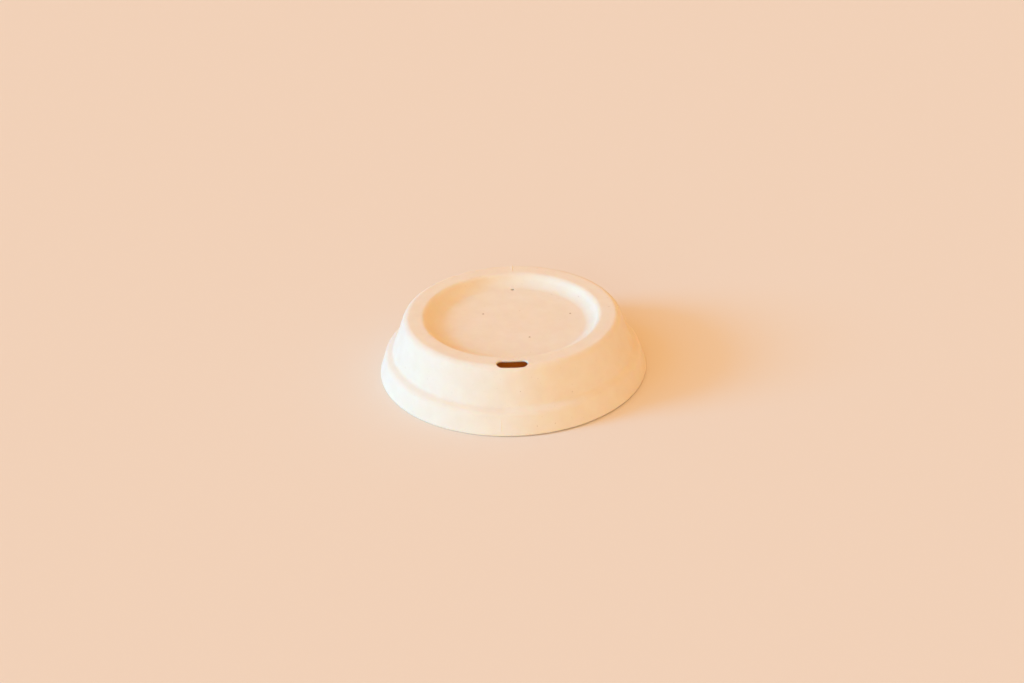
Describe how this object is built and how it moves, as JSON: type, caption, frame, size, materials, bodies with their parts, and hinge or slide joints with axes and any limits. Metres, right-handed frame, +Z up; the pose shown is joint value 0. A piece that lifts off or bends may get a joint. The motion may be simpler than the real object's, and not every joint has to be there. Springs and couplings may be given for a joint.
{
  "type": "coffee cup lid",
  "caption": "Moulded-fibre lid for a takeaway hot cup: skirt under a sloping ledge that seats on the cup's rim, sloping cone, flat drinking rim with a slot, and a sunken dish with a vent.",
  "frame": {"origin": "on the lid's axis, in the plane of the foot that it stands on", "axes": "+Z up along the lid's axis, out of the dish; -Y towards the drinking slot, +Y towards the vent"},
  "size_m": [0.094, 0.094, 0.0214],
  "materials": {
    "moulded_fibre": "matte"
  },
  "bodies": {
    "root": {"lid": "moulded_fibre"}
  },
  "joints": []
}
